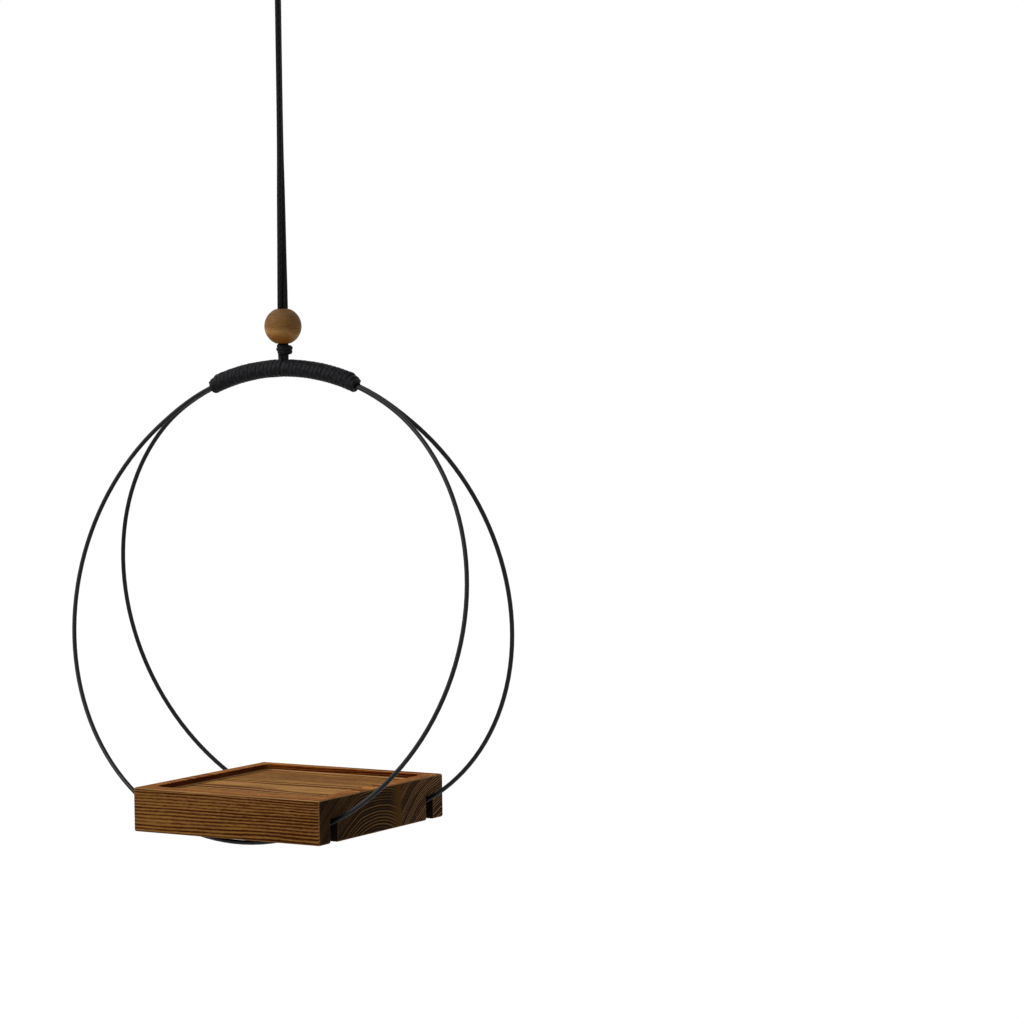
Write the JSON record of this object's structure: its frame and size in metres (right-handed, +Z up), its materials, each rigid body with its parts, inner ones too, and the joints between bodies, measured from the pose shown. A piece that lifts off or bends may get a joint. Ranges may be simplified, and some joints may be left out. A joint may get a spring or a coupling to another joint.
{
  "type": "plant hanger",
  "caption": "Hanging plant shelf: black wire hoops bound together at the top with cord and held apart below by a grooved square wooden tray, on a doubled cord with a wooden bead and a loop.",
  "frame": {"origin": "where the hook bears in the top of the hanging loop", "axes": "+Z up along the hanging cord; +X along the tray's grooves and across the hoops; -Y is the side of the tray's wider board"},
  "size_m": [0.32, 0.15, 0.6159],
  "materials": {
    "black_wire": "black paint, semi-gloss",
    "tray_wood": "brown stain, brushed grain, satin",
    "bead_wood": "dark brown, satin",
    "black_cord": "black cord, waxed"
  },
  "bodies": {
    "cord": {"left_strand": "black_cord", "right_strand": "black_cord", "loop_knot": "black_cord", "hanging_loop": "black_cord"},
    "hanger": {"front_hoop": "black_wire", "rear_hoop": "black_wire", "left_binding": "black_cord", "right_binding": "black_cord", "left_tail": "black_cord", "right_tail": "black_cord", "neck_knot": "black_cord"},
    "bead": {"bead": "bead_wood"},
    "tray": {"tray_front_board": "tray_wood", "tray_rear_board": "tray_wood"}
  },
  "joints": [
    {"name": "hanger_spin", "type": "hinge", "parent": "cord", "child": "hanger", "pos_m": [0, 0, -0.283], "axis": [0, 0, 1], "range_deg": [-180, 180], "stiffness_Nm_per_rad": 0.002},
    {"name": "bead_slide", "type": "slide", "parent": "cord", "child": "bead", "axis": [0, 0, 1], "range_m": [0, 0.2115]},
    {"name": "tray_lift", "type": "slide", "parent": "hanger", "child": "tray", "axis": [0, 0, 1], "range_m": [0, 0.05]}
  ]
}
